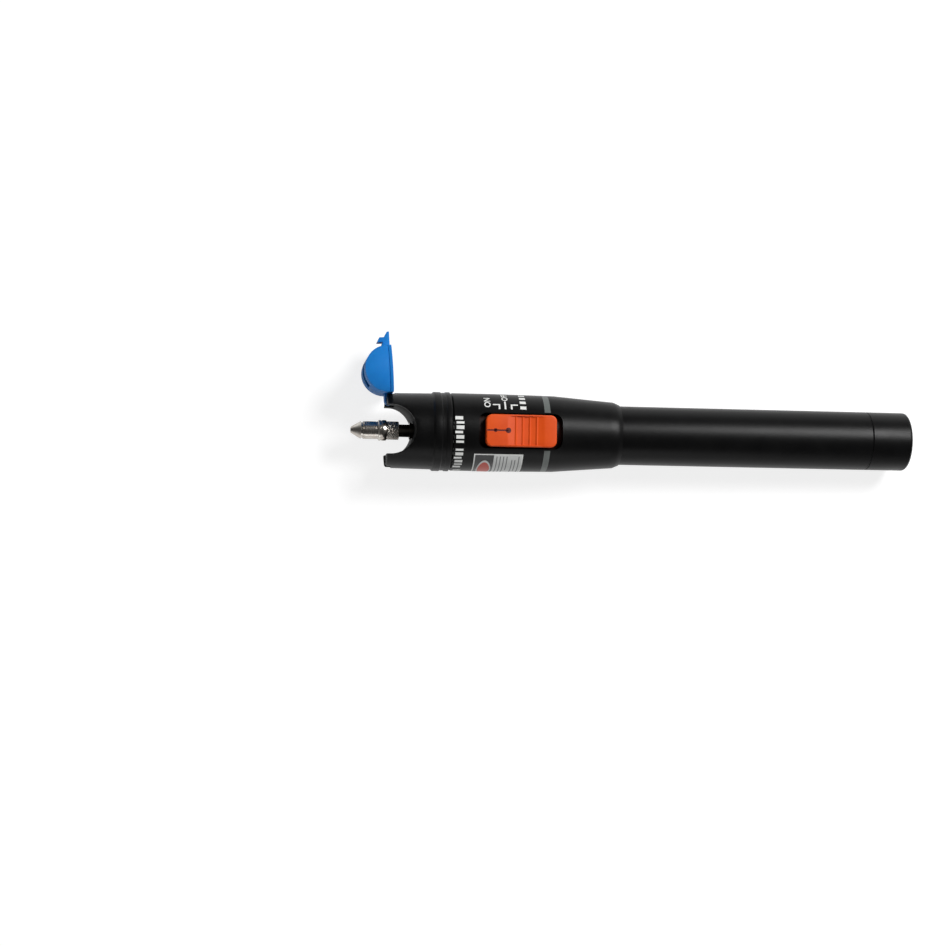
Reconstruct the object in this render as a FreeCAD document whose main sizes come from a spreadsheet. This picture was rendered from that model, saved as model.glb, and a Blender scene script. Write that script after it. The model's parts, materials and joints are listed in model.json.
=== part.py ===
import FreeCAD, Part
import os
import re
import Sketcher
from FreeCAD import Placement, Rotation, Vector

# Pen-type visual fault locator, lying along X, in millimetres.
# The row's origin is the centre of the adapter's mouth, where a 1.25 mm ferrule goes in. +X runs from
# the nose to the tail, +Y to the side where the dust cap is hinged, and +Z out of the thumb switch.
# Pieces of the pen are drawn from the tips of the fork; the adapter's pieces from its mouth.

SIZES = [
    # fork and head, x from the fork tips
    ("tip_r", 12.25, "radius of the head at the fork tips"),
    ("head_r", 12.45, "radius of the head in front of the ridges"),
    ("tip_round", 0.4, "rounding of the fork tips"),
    ("ridge_r", 12.95, "radius of the two ridges"),
    ("ridge_groove_r", 12.72, "radius of the shallow groove between the ridges"),
    ("ridges_len", 6.2, "start of the front ridge to the seam"),
    ("ridge_w", 3.0, "width of the front ridge with its slopes"),
    ("ridge_gap", 1.2, "width of the groove between the ridges"),
    ("ridge_slope", 0.6, "length of the slope at each end of the ridges"),
    ("head_len", 21.0, "fork tips to the seam between head and body"),
    ("fork_x", 1.2, "centre of the fork's round end"),
    ("fork_r", 7.95, "half the width of the fork"),
    ("spigot_len", 4.0, "head spigot inside the body"),
    ("head_ring_in", 2.0, "middle of the head O-ring behind the seam"),
    ("web_x", 13.0, "rear of the wall that carries the port"),
    # dust cap and its hinge
    ("hinge_x", 1.0, "hinge axis behind the fork tips"),
    ("hinge_y", 9.75, "hinge axis above the pen's axis"),
    ("pin_r", 0.5, "hinge pin radius"),
    ("pin_fit", 0.05, "clearance of the dust cap on its pin"),
    ("pin_far_z", 7.2, "end of the pin on the side away from the switch"),
    ("pin_near_z", 5.8, "blind end of the pin on the switch side"),
    ("lug_r", 1.5, "radius of the cap's hinge lug"),
    ("lug_w", 6.0, "width of the cap's hinge lug"),
    ("lug_gap", 0.3, "clearance of the lug in its slot"),
    ("cap_open", 175.7, "angle from closed to the open rest position"),
    ("cap_front", -0.1, "front of the closed cap behind the fork tips"),
    ("cap_straight", 1.35, "straight depth of the cap in front of its round part"),
    ("cap_r", 7.55, "radius of the cap's round part"),
    ("cap_crown_r", 12.1, "radius of the cap's sides round the pen's axis"),
    ("cap_wall", 1.2, "wall of the cap"),
    ("cap_rim", 1.0, "depth of the rim line on the cap's sides"),
    ("cap_rim_step", 0.2, "height of the rim line"),
    ("port_slot_half", 3.2, "half the width of the cap's slot for the port"),
    ("port_slot_up", 4.8, "reach of that slot towards the hinge"),
    ("port_slot_down", 3.2, "reach of that slot towards the latch"),
    ("tongue_w", 6.0, "width of the latch tongue"),
    ("tongue_y", 12.55, "tip of the tongue below the pen's axis, closed"),
    ("tongue_root", 2.8, "thickness of the tongue at the cap"),
    ("tongue_tip", 0.7, "thickness of the tongue at its tip"),
    ("barb_x", 3.9, "point of the latch barb behind the fork tips, closed"),
    ("barb_y", 9.3, "catching face of the barb below the pen's axis"),
    ("barb_t", 1.5, "thickness of the barb"),
    ("latch_gap", 0.3, "clearance round the tongue and the barb"),
    # port and laser module
    ("lip_x", 4.28, "face of the port, where the adapter seats"),
    ("neck_r", 2.05, "port tube radius"),
    ("neck_len", 3.45, "port tube length in front of its flange"),
    ("flange_r", 2.8, "port flange radius"),
    ("flange_t", 0.5, "port flange thickness"),
    ("base_r", 2.5, "port base radius"),
    ("base_ring_r", 2.7, "radius of the rings on the port base"),
    ("seat_gap", 0.05, "clearance of parts that are screwed or pushed together"),
    ("port_tail", 3.4, "part of the port base inside the laser housing"),
    ("port_lip_r", 1.35, "radius of the port's opening"),
    ("port_lip_t", 0.5, "thickness of the lip that keeps the sleeve in"),
    ("sleeve_r", 1.6, "outer radius of the 2.5 mm ceramic sleeve"),
    ("sleeve_len", 11.4, "length of the 2.5 mm ceramic sleeve"),
    ("sleeve_split", 0.25, "width of the sleeve's slit"),
    ("ferrule_r", 1.25, "radius of a 2.5 mm ferrule"),
    ("ferrule_fit", 0.03, "clearance of a ferrule in its sleeve"),
    ("stub_len", 7.2, "length of the fibre stub behind the port"),
    ("module_r", 6.0, "laser housing radius"),
    ("module_len", 16.0, "laser housing length"),
    ("lens_r", 2.0, "lens radius"),
    ("lens_t", 2.2, "lens thickness"),
    ("lens_bulge_r", 3.0, "radius of the lens faces"),
    ("lens_gap", 1.9, "stub to lens"),
    ("lens_lip", 0.4, "lip that the lens seats on"),
    ("can_r", 1.8, "laser diode can radius"),
    ("can_len", 2.3, "laser diode can length"),
    ("diode_r", 2.8, "laser diode flange radius"),
    ("diode_t", 1.2, "laser diode flange thickness"),
    ("lead_r", 0.225, "laser diode lead radius"),
    ("lead_len", 5.5, "laser diode lead length"),
    ("lead_circle", 1.27, "radius of the circle of leads"),
    ("ring_t", 0.8, "retaining ring thickness"),
    ("ring_hole_r", 2.0, "retaining ring opening"),
    # body
    ("body_r", 12.7, "radius of the body at the front"),
    ("body_mid_r", 12.6, "radius of the body beside the switch"),
    ("body_back_r", 12.48, "radius where the taper starts"),
    ("body_end_r", 10.88, "radius where the taper ends"),
    ("front_edge", 0.45, "bevel at the seam with the head"),
    ("bend_x", 35.0, "where the body starts to narrow"),
    ("taper_x", 55.0, "where the straight taper starts"),
    ("taper_end_x", 75.0, "where the taper ends"),
    ("body_end_x", 76.9, "rear end of the body"),
    ("bore_r", 10.2, "bore of the body round the switch board"),
    ("shoulder_x", 63.3, "front of the rib inside the body that stops the barrel"),
    ("rib_t", 1.2, "thickness of that rib"),
    ("rib_hole_r", 6.5, "opening of that rib"),
    ("end_lip", 0.35, "wall left at the rear end of the body"),
    # thumb switch
    ("switch_x", 43.0, "middle of the switch"),
    ("window_len", 27.2, "length of the switch window"),
    ("window_w", 11.5, "width of the switch window"),
    ("window_round", 2.6, "corner radius of the window"),
    ("slider_len", 23.0, "length of the slider"),
    ("slider_w", 10.36, "width of the slider"),
    ("slider_round", 2.0, "corner radius of the slider"),
    ("slider_top", 13.45, "top of the slider above the pen's axis"),
    ("slider_low", 8.0, "underside of the slider's block"),
    ("slider_edge", 0.5, "rounding of the slider's top edge"),
    ("scoop_x", 1.6, "middle of the thumb hollow behind the switch's middle"),
    ("scoop_r", 26.0, "radius of the thumb hollow"),
    ("scoop_depth", 0.75, "depth of the thumb hollow"),
    ("rib_r", 0.45, "radius of the grip ribs"),
    ("rib_pitch", 2.3, "spacing of the grip ribs"),
    ("rib_sink", 0.2, "depth of the ribs' axes below the hollow"),
    ("groove_w", 0.5, "width of the line on the slider"),
    ("groove_len", 7.0, "length of the line on the slider"),
    ("groove_depth", 0.25, "depth of the line and the dots"),
    ("dot_r", 0.75, "radius of the large dot"),
    ("dot_small_r", 0.45, "radius of the small dot"),
    ("dot_step", 4.2, "distance between the dots"),
    ("dot_x", 4.3, "large dot in front of the switch's middle"),
    ("flange_len", 31.2, "length of the slider's inner plate"),
    ("flange_w", 13.6, "width of the slider's inner plate"),
    ("plate_t", 0.9, "thickness of the slider's inner plate"),
    ("slide_gap", 0.15, "clearance of the inner plate in the bore"),
    ("travel", 2.0, "travel of the switch each way"),
    ("stem_w", 2.4, "width of the switch lever"),
    ("stem_top", 10.4, "top of the switch lever"),
    ("stem_gap", 0.1, "clearance round the switch lever"),
    ("switch_len", 12.6, "length of the switch case"),
    ("switch_w", 6.4, "width of the switch case"),
    ("switch_h", 5.6, "height of the switch case"),
    ("switch_wall", 0.6, "wall of the switch case"),
    ("key_len", 5.0, "length of the lever's foot"),
    ("key_h", 1.6, "height of the lever's foot"),
    ("key_gap", 0.2, "clearance over the lever's foot"),
    # board
    ("board_x", 31.0, "front edge of the circuit board"),
    ("board_len", 32.2, "length of the circuit board"),
    ("board_w", 19.4, "width of the circuit board"),
    ("board_t", 1.3, "thickness of the circuit board"),
    ("carrier_r", 10.1, "radius of the board carrier"),
    ("carrier_wall", 1.4, "wall of the board carrier"),
    ("carrier_x", 30.0, "front end of the board carrier"),
    ("carrier_len", 33.3, "length of the board carrier"),
    ("chip_x", 32.6, "front of the driver chip"),
    ("chip_y", -8.6, "far side of the driver chip"),
    ("chip_len", 3.9, "driver chip along the pen"),
    ("chip_w", 4.9, "driver chip across the pen"),
    ("chip_h", 1.6, "driver chip height"),
    ("trim_x", 52.2, "front of the current trimmer"),
    ("trim_w", 4.6, "side of the current trimmer"),
    ("trim_h", 2.6, "height of the current trimmer"),
    ("trim_screw_r", 1.4, "radius of the trimmer's screw"),
    ("trim_y", 1.2, "near side of the trimmer"),
    ("cap_size", 2.8, "width of a board capacitor"),
    ("cap_long", 3.6, "length of a board capacitor"),
    ("cap_high", 1.9, "height of a board capacitor"),
    # barrel, cells and tail
    ("barrel_r", 9.7, "radius of the battery barrel"),
    ("barrel_bore_r", 7.45, "bore of the battery barrel"),
    ("cell_reach", 5.2, "reach of the rear cell out of the barrel"),
    ("disc_t", 1.5, "thickness of the insulating disc"),
    ("contact_r", 3.0, "radius of the front contact's head"),
    ("contact_t", 0.6, "thickness of the front contact's head"),
    ("contact_stem_r", 1.0, "radius of the front contact's stem"),
    ("cell_r", 7.15, "radius of an AA cell"),
    ("cell_len", 50.0, "length of an AA cell with its button"),
    ("button_r", 2.75, "radius of the cell's button"),
    ("button_t", 1.0, "height of the cell's button"),
    ("cell_edge", 0.6, "rounding of the cell's edges"),
    ("tail_len", 13.6, "length of the tail cap behind the barrel"),
    ("tail_wall", 2.2, "end wall of the tail cap"),
    ("tail_round", 1.0, "rounding of the tail"),
    ("thread_len", 7.8, "tail cap spigot inside the barrel"),
    ("thread_r", 8.75, "tail cap spigot radius"),
    ("thread_gap", 0.05, "clearance of the tail cap's thread"),
    ("seam_edge", 0.25, "bevel at the tail seam"),
    ("tail_ring_in", 2.0, "middle of the tail O-ring inside the barrel's end"),
    ("tail_ring_r", 0.36, "section radius of the tail O-ring"),
    ("tail_ring_groove", 0.76, "depth of the tail O-ring's groove"),
    ("head_ring_r", 0.58, "section radius of the head O-ring"),
    ("head_ring_groove", 1.2, "depth of the head O-ring's groove"),
    ("plate_r", 6.6, "radius of the tail contact"),
    ("plate_thick", 0.5, "thickness of the tail contact"),
    ("wire_r", 0.4, "tail spring wire radius"),
    ("spring_r", 5.6, "tail spring radius at the cap"),
    ("spring_tip_r", 3.6, "tail spring radius at the cell"),
    ("spring_turns", 3.5, "turns of the tail spring"),
    # adapter, x from its mouth
    ("mouth_r", 0.7, "bore of the nose, with clearance for a 1.25 mm ferrule"),
    ("mouth_len", 1.0, "length of the nose's own bore"),
    ("nose_tip_r", 0.95, "flat at the nose"),
    ("nose_len", 3.3, "length of the cone"),
    ("nose_groove", 0.65, "width of the groove behind the cone"),
    ("nose_groove_r", 2.55, "radius of that groove"),
    ("nose_spigot_r", 2.0, "nose spigot radius"),
    ("nose_spigot_len", 1.6, "nose spigot length"),
    ("adapter_r", 2.95, "adapter body radius"),
    ("collar_x", 8.93, "where the collar starts"),
    ("collar_r", 3.4, "collar radius"),
    ("collar_edge", 0.25, "bevel of the collar"),
    ("grip_x", 11.67, "where the grip starts"),
    ("grip_r", 3.0, "grip radius"),
    ("grip_flutes", 16, "flutes round the grip"),
    ("flute_r", 0.3, "radius of a flute"),
    ("adapter_len", 15.64, "mouth to the shoulder that seats on the port"),
    ("plug_len", 8.0, "2.5 mm ferrule in front of the shoulder"),
    ("plug_edge", 0.3, "bevel at the ferrule's end"),
    ("inner_sleeve_r", 0.81, "outer radius of the 1.25 mm sleeve"),
    ("inner_bore_r", 0.64, "bore of the 1.25 mm sleeve"),
    ("inner_sleeve_play", 0.8, "room between the nose's own bore and the 1.25 mm sleeve"),
    ("inner_sleeve_len", 6.0, "length of the 1.25 mm sleeve"),
    ("inner_stub_r", 0.6, "radius of the fibre stub in the 1.25 mm sleeve"),
    ("inner_stub_x", 5.0, "front of that fibre stub"),
]

doc = FreeCAD.newDocument("VisualFaultLocator")
sheet = doc.addObject("Spreadsheet::Sheet", "Dims")
for row, (alias, size, meaning) in enumerate(SIZES, start=1):
    sheet.set(f"A{row}", meaning)
    sheet.set(f"B{row}", str(size))
    sheet.setAlias(f"B{row}", alias)
doc.recompute()

FUNCTIONS = {"sqrt"}
TOUCH = 0.01  # mm within which an edge counts as lying on a face
X_AXIS = Rotation(Vector(0, 1, 0), 90)  # turns a cylinder's own Z axis to X
Z_AXIS = Rotation()
ACROSS = Rotation(Vector(1, 0, 0), 90)  # turns a cylinder's own Z axis to -Y


def cells(text):
    """Writes a formula of size names as a formula of spreadsheet cells."""
    return re.sub(
        r"[a-z]\w*",
        lambda m: m.group(0) if m.group(0) in FUNCTIONS else "Dims." + m.group(0),
        str(text),
    )


def value(text):
    """The present value of a formula of size names, in millimetres or degrees."""
    return float(sheet.evalExpression(cells(text)))


def bind(obj, **formulas):
    """Binds properties of an object to formulas of size names."""
    for name, text in formulas.items():
        obj.setExpression(name.replace("__", "."), cells(text))
    return obj


def place(obj, x="0", y="0", z="0"):
    """Binds an object's position to formulas of size names."""
    for axis, text in (("x", x), ("y", y), ("z", z)):
        obj.setExpression("Placement.Base." + axis, cells(text))
    return obj


# ---------------------------------------------------------------- solids from primitives


def box(name, x, y, z, dx, dy, dz):
    """A box from its lowest corner and its sizes."""
    solid = doc.addObject("Part::Box", name)
    bind(solid, Length=dx, Width=dy, Height=dz)
    return place(solid, x, y, z)


def cylinder(name, radius, length, x="0", y="0", z="0", turn=X_AXIS):
    """A cylinder from the centre of its first end, along X unless turned otherwise."""
    solid = doc.addObject("Part::Cylinder", name)
    solid.Placement = Placement(Vector(), turn)
    bind(solid, Radius=radius, Height=length)
    return place(solid, x, y, z)


def joined(name, *solids):
    """Solids fused into one."""
    fused = doc.addObject("Part::MultiFuse", name)
    fused.Shapes = list(solids)
    fused.Refine = True
    return fused


def cut(name, base, *tools):
    """A base with one or more tools cut from it."""
    tool = tools[0] if len(tools) == 1 else joined(name + "Tools", *tools)
    result = doc.addObject("Part::Cut", name)
    result.Base = base
    result.Tool = tool
    return result


def shared(name, *solids):
    """What all the solids have in common."""
    common = doc.addObject("Part::MultiCommon", name)
    common.Shapes = list(solids)
    return common


# ---------------------------------------------------------------- PartDesign bodies


def new_body(label):
    """An empty body, named after its sub-part."""
    return doc.addObject("PartDesign::Body", label)


def plane_of(body, role):
    """One of the body's own origin planes or axes, found by its role."""
    return next(f for f in body.Origin.OriginFeatures if f.Role == role)


def new_sketch(body, name, role):
    """An empty sketch on one of the body's origin planes."""
    sketch = body.newObject("Sketcher::SketchObject", name)
    sketch.AttachmentSupport = [(plane_of(body, role), "")]
    sketch.MapMode = "FlatFace"
    return sketch


def pin_point(sketch, geometry, end, x, y):
    """Fixes one point of a sketch at formulas of size names."""
    for kind, text, axis in (("DistanceX", x, -2), ("DistanceY", y, -1)):
        if str(text) == "0":
            sketch.addConstraint(Sketcher.Constraint("PointOnObject", geometry, end, axis))
            continue
        number = value(text)
        index = sketch.addConstraint(Sketcher.Constraint(kind, -1, 1, geometry, end, number))
        sketch.setExpression(f"Constraints[{index}]", cells(text))


def polygon(sketch, points):
    """A closed outline of straight sides through formulas of size names."""
    spots = [Vector(value(x), value(y), 0) for x, y in points]
    first = sketch.GeometryCount
    for start, end in zip(spots, spots[1:] + spots[:1]):
        sketch.addGeometry(Part.LineSegment(start, end), False)
    for index, (x, y) in enumerate(points):
        following = (index + 1) % len(points)
        sketch.addConstraint(
            Sketcher.Constraint("Coincident", first + index, 2, first + following, 1)
        )
        pin_point(sketch, first + index, 1, x, y)


def circle(sketch, x, y, radius):
    """A circle whose centre and radius are formulas of size names."""
    centre = Vector(value(x), value(y), 0)
    round_ = sketch.addGeometry(Part.Circle(centre, Vector(0, 0, 1), value(radius)), False)
    pin_point(sketch, round_, 3, x, y)
    index = sketch.addConstraint(Sketcher.Constraint("Radius", round_, value(radius)))
    sketch.setExpression(f"Constraints[{index}]", cells(radius))


def revolve(body, name, points):
    """Turns an outline of (x, radius) about the X axis."""
    sketch = new_sketch(body, name + "Profile", "XZ_Plane")
    polygon(sketch, points)
    turned = body.newObject("PartDesign::Revolution", name)
    turned.Profile = sketch
    turned.ReferenceAxis = (sketch, ["H_Axis"])
    turned.Angle = 360
    doc.recompute()


def turned_body(label, points):
    """A body that is one turned piece."""
    body = new_body(label)
    revolve(body, "Turned" + label.title().replace("_", ""), points)
    return body


def pocket(body, name, sketch, **lengths):
    """Cuts a sketch of the XY plane out of a body: right through, or by the lengths given."""
    feature = body.newObject("PartDesign::Pocket", name)
    feature.Profile = sketch
    before = body.Shape.Volume
    if "both" in lengths:
        feature.SideType = "Symmetric"
        feature.Type = "Length"
        bind(feature, Length=lengths["both"])
    elif "above" in lengths and "below" in lengths:
        feature.SideType = "Two sides"
        feature.Type = "Length"
        feature.Type2 = "Length"
        bind(feature, Length=lengths["below"], Length2=lengths["above"])
    else:
        feature.Reversed = True
        feature.Type = "Length"
        bind(feature, Length=lengths["above"])
    doc.recompute()
    if not feature.Shape.Volume < before:
        raise RuntimeError(name + " cuts nothing")


def edges_where(shape, wanted):
    """The names of a shape's edges that a test picks."""
    return [f"Edge{n}" for n, edge in enumerate(shape.Edges, start=1) if wanted(edge)]


def is_upright(edge):
    """A straight edge along Z."""
    if edge.Curve.TypeId != "Part::GeomLine":
        return False
    return abs(edge.Curve.Direction.z) > 0.999


def fillet(body, name, size, wanted):
    """Rounds the edges that a test picks."""
    base = body.Tip
    feature = body.newObject("PartDesign::Fillet", name)
    feature.Base = (base, edges_where(base.Shape, wanted))
    bind(feature, Radius=size)
    doc.recompute()


# ---------------------------------------------------------------- finished sub-parts

NODES = []
TO_TIPS = "adapter_len - lip_x"  # from the adapter's mouth to the fork tips


def finish(obj, label, x=TO_TIPS, y="0", z="0"):
    """Names a finished sub-part and places it in the row's frame."""
    obj.Label = label
    place(obj, x, y, z)
    NODES.append(obj)
    return obj


# ---------------------------------------------------------------- head, fork and hinge

HEAD_RING = "head_len + head_ring_in"  # middle of the O-ring between head and body


def front_head():
    """Turned and milled head: fork, port wall, seat of the laser housing, and spigot."""
    body = new_body("front_head")
    spigot_r = "bore_r - seat_gap"
    ring_half = "head_ring_r + seat_gap"
    rear = "head_len + spigot_len"
    ridge_1 = "head_len - ridges_len"
    ridge_2 = ridge_1 + " + ridge_w + ridge_gap"
    hole_r = "base_ring_r + seat_gap"
    revolve(
        body,
        "HeadTurning",
        [
            ("0", hole_r),
            ("0", "tip_r - tip_round"),
            ("tip_round", "tip_r"),
            (ridge_1, "head_r"),
            (ridge_1 + " + ridge_slope", "ridge_r"),
            (ridge_1 + " + ridge_w - ridge_slope / 2", "ridge_r"),
            (ridge_1 + " + ridge_w", "ridge_groove_r"),
            (ridge_2, "ridge_groove_r"),
            (ridge_2 + " + ridge_slope / 2", "ridge_r"),
            ("head_len - front_edge", "ridge_r"),
            ("head_len", "ridge_r - front_edge"),
            ("head_len", spigot_r),
            (f"{HEAD_RING} - ({ring_half})", spigot_r),
            (f"{HEAD_RING} - ({ring_half})", spigot_r + " - head_ring_groove"),
            (f"{HEAD_RING} + {ring_half}", spigot_r + " - head_ring_groove"),
            (f"{HEAD_RING} + {ring_half}", spigot_r),
            (rear, spigot_r),
            (rear, "module_r + seat_gap"),
            ("web_x", "module_r + seat_gap"),
            ("web_x", hole_r),
        ],
    )
    fork = new_sketch(body, "ForkOutline", "XY_Plane")
    polygon(
        fork,
        [
            ("0 - fork_r", "fork_r"),
            ("0 - fork_r", "0 - fork_r"),
            ("fork_x", "0 - fork_r"),
            ("fork_x", "fork_r"),
        ],
    )
    pocket(body, "Fork", fork, both="4 * tip_r")
    fork_end = new_sketch(body, "ForkEndOutline", "XY_Plane")
    circle(fork_end, "fork_x", "0", "fork_r")
    pocket(body, "ForkEnd", fork_end, both="4 * tip_r")
    slot = new_sketch(body, "HingeSlotOutline", "XY_Plane")
    slot_x = "hinge_x + lug_r + lug_gap"
    polygon(
        slot,
        [
            ("0 - fork_x", "fork_r / 2"),
            (slot_x, "fork_r / 2"),
            (slot_x, "2 * tip_r"),
            ("0 - fork_x", "2 * tip_r"),
        ],
    )
    pocket(body, "HingeSlot", slot, both="lug_w + 2 * lug_gap")
    latch = new_sketch(body, "LatchOutline", "XY_Plane")
    root = "cap_front + tongue_root + latch_gap"
    step = "cap_front + (tongue_root + tongue_tip) / 2 + latch_gap"
    upper = "0 - barb_y + latch_gap"
    lower = "0 - barb_y - barb_t - latch_gap"
    polygon(
        latch,
        [
            ("0 - fork_x", "0 - fork_r / 2"),
            (root, "0 - fork_r / 2"),
            (root, upper),
            ("barb_x + latch_gap", upper),
            ("barb_x + latch_gap", lower),
            (step, lower),
            (step, "0 - 2 * tip_r"),
            ("0 - fork_x", "0 - 2 * tip_r"),
        ],
    )
    pocket(body, "LatchSlot", latch, both="tongue_w + 2 * latch_gap")
    pin = new_sketch(body, "PinHoleOutline", "XY_Plane")
    circle(pin, "hinge_x", "hinge_y", "pin_r")
    pocket(body, "PinHole", pin, below="2 * tip_r", above="pin_near_z")
    finish(body, "front_head")


def hinge_pin():
    """Steel pin in the fork's upper prong, pushed in from the far side."""
    pin = cylinder("HingePinRod", "pin_r", "pin_near_z + pin_far_z", turn=Z_AXIS)
    finish(pin, "hinge_pin", TO_TIPS + " + hinge_x", "hinge_y", "0 - pin_far_z")


def dust_cap():
    """Moulded cap, drawn closed about its hinge axis and then turned open. Its round part fills the
    fork, and a slot in that part lets the port in."""
    front = "cap_front - hinge_x"
    middle = front + " + cap_straight"
    axis_y = "0 - hinge_y"

    def d_shape(name, inset):
        """The cap's D seen along Z, all round smaller by the inset, as deep as the crown allows."""
        radius = f"cap_r - {inset}"
        crown = f"cap_crown_r - {inset}"
        depth = f"2 * ({crown})"
        low = f"0 - ({crown})"
        drum = cylinder(name + "Round", radius, depth, middle, axis_y, low, Z_AXIS)
        block = box(
            name + "Block",
            f"{front} + {inset}",
            f"{axis_y} - ({radius})",
            low,
            f"cap_straight - {inset}",
            f"2 * ({radius})",
            depth,
        )
        drum_half = box(
            name + "Behind",
            middle,
            f"{axis_y} - ({radius})",
            low,
            radius,
            f"2 * ({radius})",
            depth,
        )
        crown_rod = cylinder(name + "Crown", crown, "4 * cap_r", front + " - cap_r", axis_y)
        outline = joined(name + "Outline", shared(name + "Half", drum, drum_half), block)
        return shared(name, outline, crown_rod)

    outer = d_shape("CapOuter", "0")
    inner = d_shape("CapInner", "cap_wall")
    port_slot = box(
        "CapPortSlot",
        middle,
        axis_y + " - port_slot_down",
        "0 - port_slot_half",
        "2 * cap_r",
        "port_slot_up + port_slot_down",
        "2 * port_slot_half",
    )
    rim = cut(
        "CapRimLine",
        cylinder("CapRimOuter", "2 * cap_crown_r", "cap_rim_step", front + " + cap_rim", axis_y),
        cylinder(
            "CapRimInner", "cap_crown_r - cap_rim_step", "cap_rim_step", front + " + cap_rim", axis_y
        ),
    )
    shell = cut("CapShell", outer, inner, port_slot, rim)

    tongue = new_body("CapTongue")
    sketch = new_sketch(tongue, "TongueOutline", "XY_Plane")
    root_y = "0 - hinge_y - cap_r + cap_wall / 2"
    barb_top = "0 - hinge_y - barb_y"
    polygon(
        sketch,
        [
            (front, root_y),
            (front + " + tongue_root", root_y),
            (front + " + tongue_root - cap_wall / 2", barb_top),
            ("barb_x - hinge_x", barb_top),
            ("barb_x - hinge_x - barb_t / 2", barb_top + " - barb_t"),
            (front + " + (tongue_root + tongue_tip) / 2", barb_top + " - barb_t"),
            (front + " + tongue_tip", "0 - hinge_y - tongue_y"),
            (front, "0 - hinge_y - tongue_y"),
        ],
    )
    pad = tongue.newObject("PartDesign::Pad", "TonguePad")
    pad.Profile = sketch
    pad.SideType = "Symmetric"
    bind(pad, Length="tongue_w")

    half_lug = "lug_w / 2"
    lug = cylinder("CapLug", "lug_r", "lug_w", "0", "0", "0 - " + half_lug, Z_AXIS)
    neck = box(
        "CapLugNeck",
        front,
        "0 - hinge_y + cap_r - cap_wall / 2",
        "0 - " + half_lug,
        "lug_r - (" + front + ")",
        "hinge_y - cap_r + cap_wall / 2",
        "lug_w",
    )
    hole = cylinder(
        "CapPinHole", "pin_r + pin_fit", "2 * lug_w", "0", "0", "0 - lug_w", Z_AXIS
    )
    cap = cut("DustCapSolid", joined("CapPieces", shell, tongue, lug, neck), hole)
    cap.Placement = Placement(Vector(), Rotation(Vector(0, 0, 1), 1))
    bind(cap, Placement__Rotation__Angle="0 - cap_open")
    finish(cap, "dust_cap", TO_TIPS + " + hinge_x", "hinge_y")


# ---------------------------------------------------------------- port and laser module

STUB_X = "lip_x + plug_len + seat_gap"  # front of the fibre stub
STUB_END = STUB_X + " + stub_len"
LENS_X = STUB_END + " + lens_gap"
DIODE_X = "web_x + module_len - ring_t - diode_t"


def port_tube():
    """Plated port: the tube that the adapter seats on, its flange, and the ringed base."""
    flange_x = "lip_x + neck_len"
    base_x = flange_x + " + flange_t"
    hole_r = "sleeve_r + seat_gap"
    rings = []
    for n in range(3):
        start = f"{base_x} + {2 * n + 1} * flange_t"
        rings += [
            (start, "base_r"),
            (start, "base_ring_r"),
            (start + " + flange_t", "base_ring_r"),
            (start + " + flange_t", "base_r"),
        ]
    body = turned_body(
        "port_tube",
        [
            ("lip_x", "port_lip_r"),
            ("lip_x", "neck_r - seat_gap"),
            ("lip_x + seat_gap", "neck_r"),
            (flange_x, "neck_r"),
            (flange_x, "flange_r"),
            (base_x, "flange_r"),
            (base_x, "base_r"),
            *rings,
            ("web_x + port_tail", "base_r"),
            ("web_x + port_tail", hole_r),
            ("lip_x + port_lip_t", hole_r),
            ("lip_x + port_lip_t", "port_lip_r"),
        ],
    )
    finish(body, "port_tube")


def split_sleeve(name, label, outer_r, inner_r, length, x, to_row):
    """Ceramic sleeve with a slit along its side."""
    tube = cut(
        name + "Tube",
        cylinder(name + "Outer", outer_r, length, x),
        cylinder(name + "Bore", inner_r, length, x),
    )
    slit = box(
        name + "Slit", x, "0 - sleeve_split / 2", "0", length, "sleeve_split", "2 * " + outer_r
    )
    finish(cut(name + "Solid", tube, slit), label, to_row)


def fibre_stub():
    """Ceramic stub that the lens focuses on, half in the sleeve and half in the housing."""
    rod = turned_body(
        "fibre_stub",
        [
            (STUB_X, "0"),
            (STUB_X, "ferrule_r - plug_edge / 2"),
            (STUB_X + " + plug_edge", "ferrule_r"),
            (STUB_END, "ferrule_r"),
            (STUB_END, "0"),
        ],
    )
    finish(rod, "fibre_stub")


def laser_housing():
    """Brass barrel that holds the port, the stub, the lens and the diode in line."""
    end = "web_x + module_len"
    body = turned_body(
        "laser_housing",
        [
            ("web_x", "base_r + seat_gap"),
            ("web_x", "module_r"),
            (end, "module_r"),
            (end, "diode_r + seat_gap"),
            (DIODE_X, "diode_r + seat_gap"),
            (DIODE_X, "lens_r + seat_gap"),
            (LENS_X, "lens_r + seat_gap"),
            (LENS_X, "lens_r - lens_lip"),
            (STUB_END + " - seat_gap", "lens_r - lens_lip"),
            (STUB_END + " - seat_gap", "ferrule_r + seat_gap"),
            ("web_x + port_tail + seat_gap", "ferrule_r + seat_gap"),
            ("web_x + port_tail + seat_gap", "base_r + seat_gap"),
        ],
    )
    finish(body, "laser_housing")


def focus_lens():
    """Small biconvex lens in front of the diode."""
    rim = cylinder("LensRim", "lens_r", "lens_t", LENS_X)
    faces = []
    for name, centre in (
        ("LensFront", f"{LENS_X} + lens_bulge_r"),
        ("LensRear", f"{LENS_X} + lens_t - lens_bulge_r"),
    ):
        ball = doc.addObject("Part::Sphere", name)
        bind(ball, Radius="lens_bulge_r")
        faces.append(place(ball, centre))
    finish(shared("FocusLensSolid", rim, *faces), "focus_lens")


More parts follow.
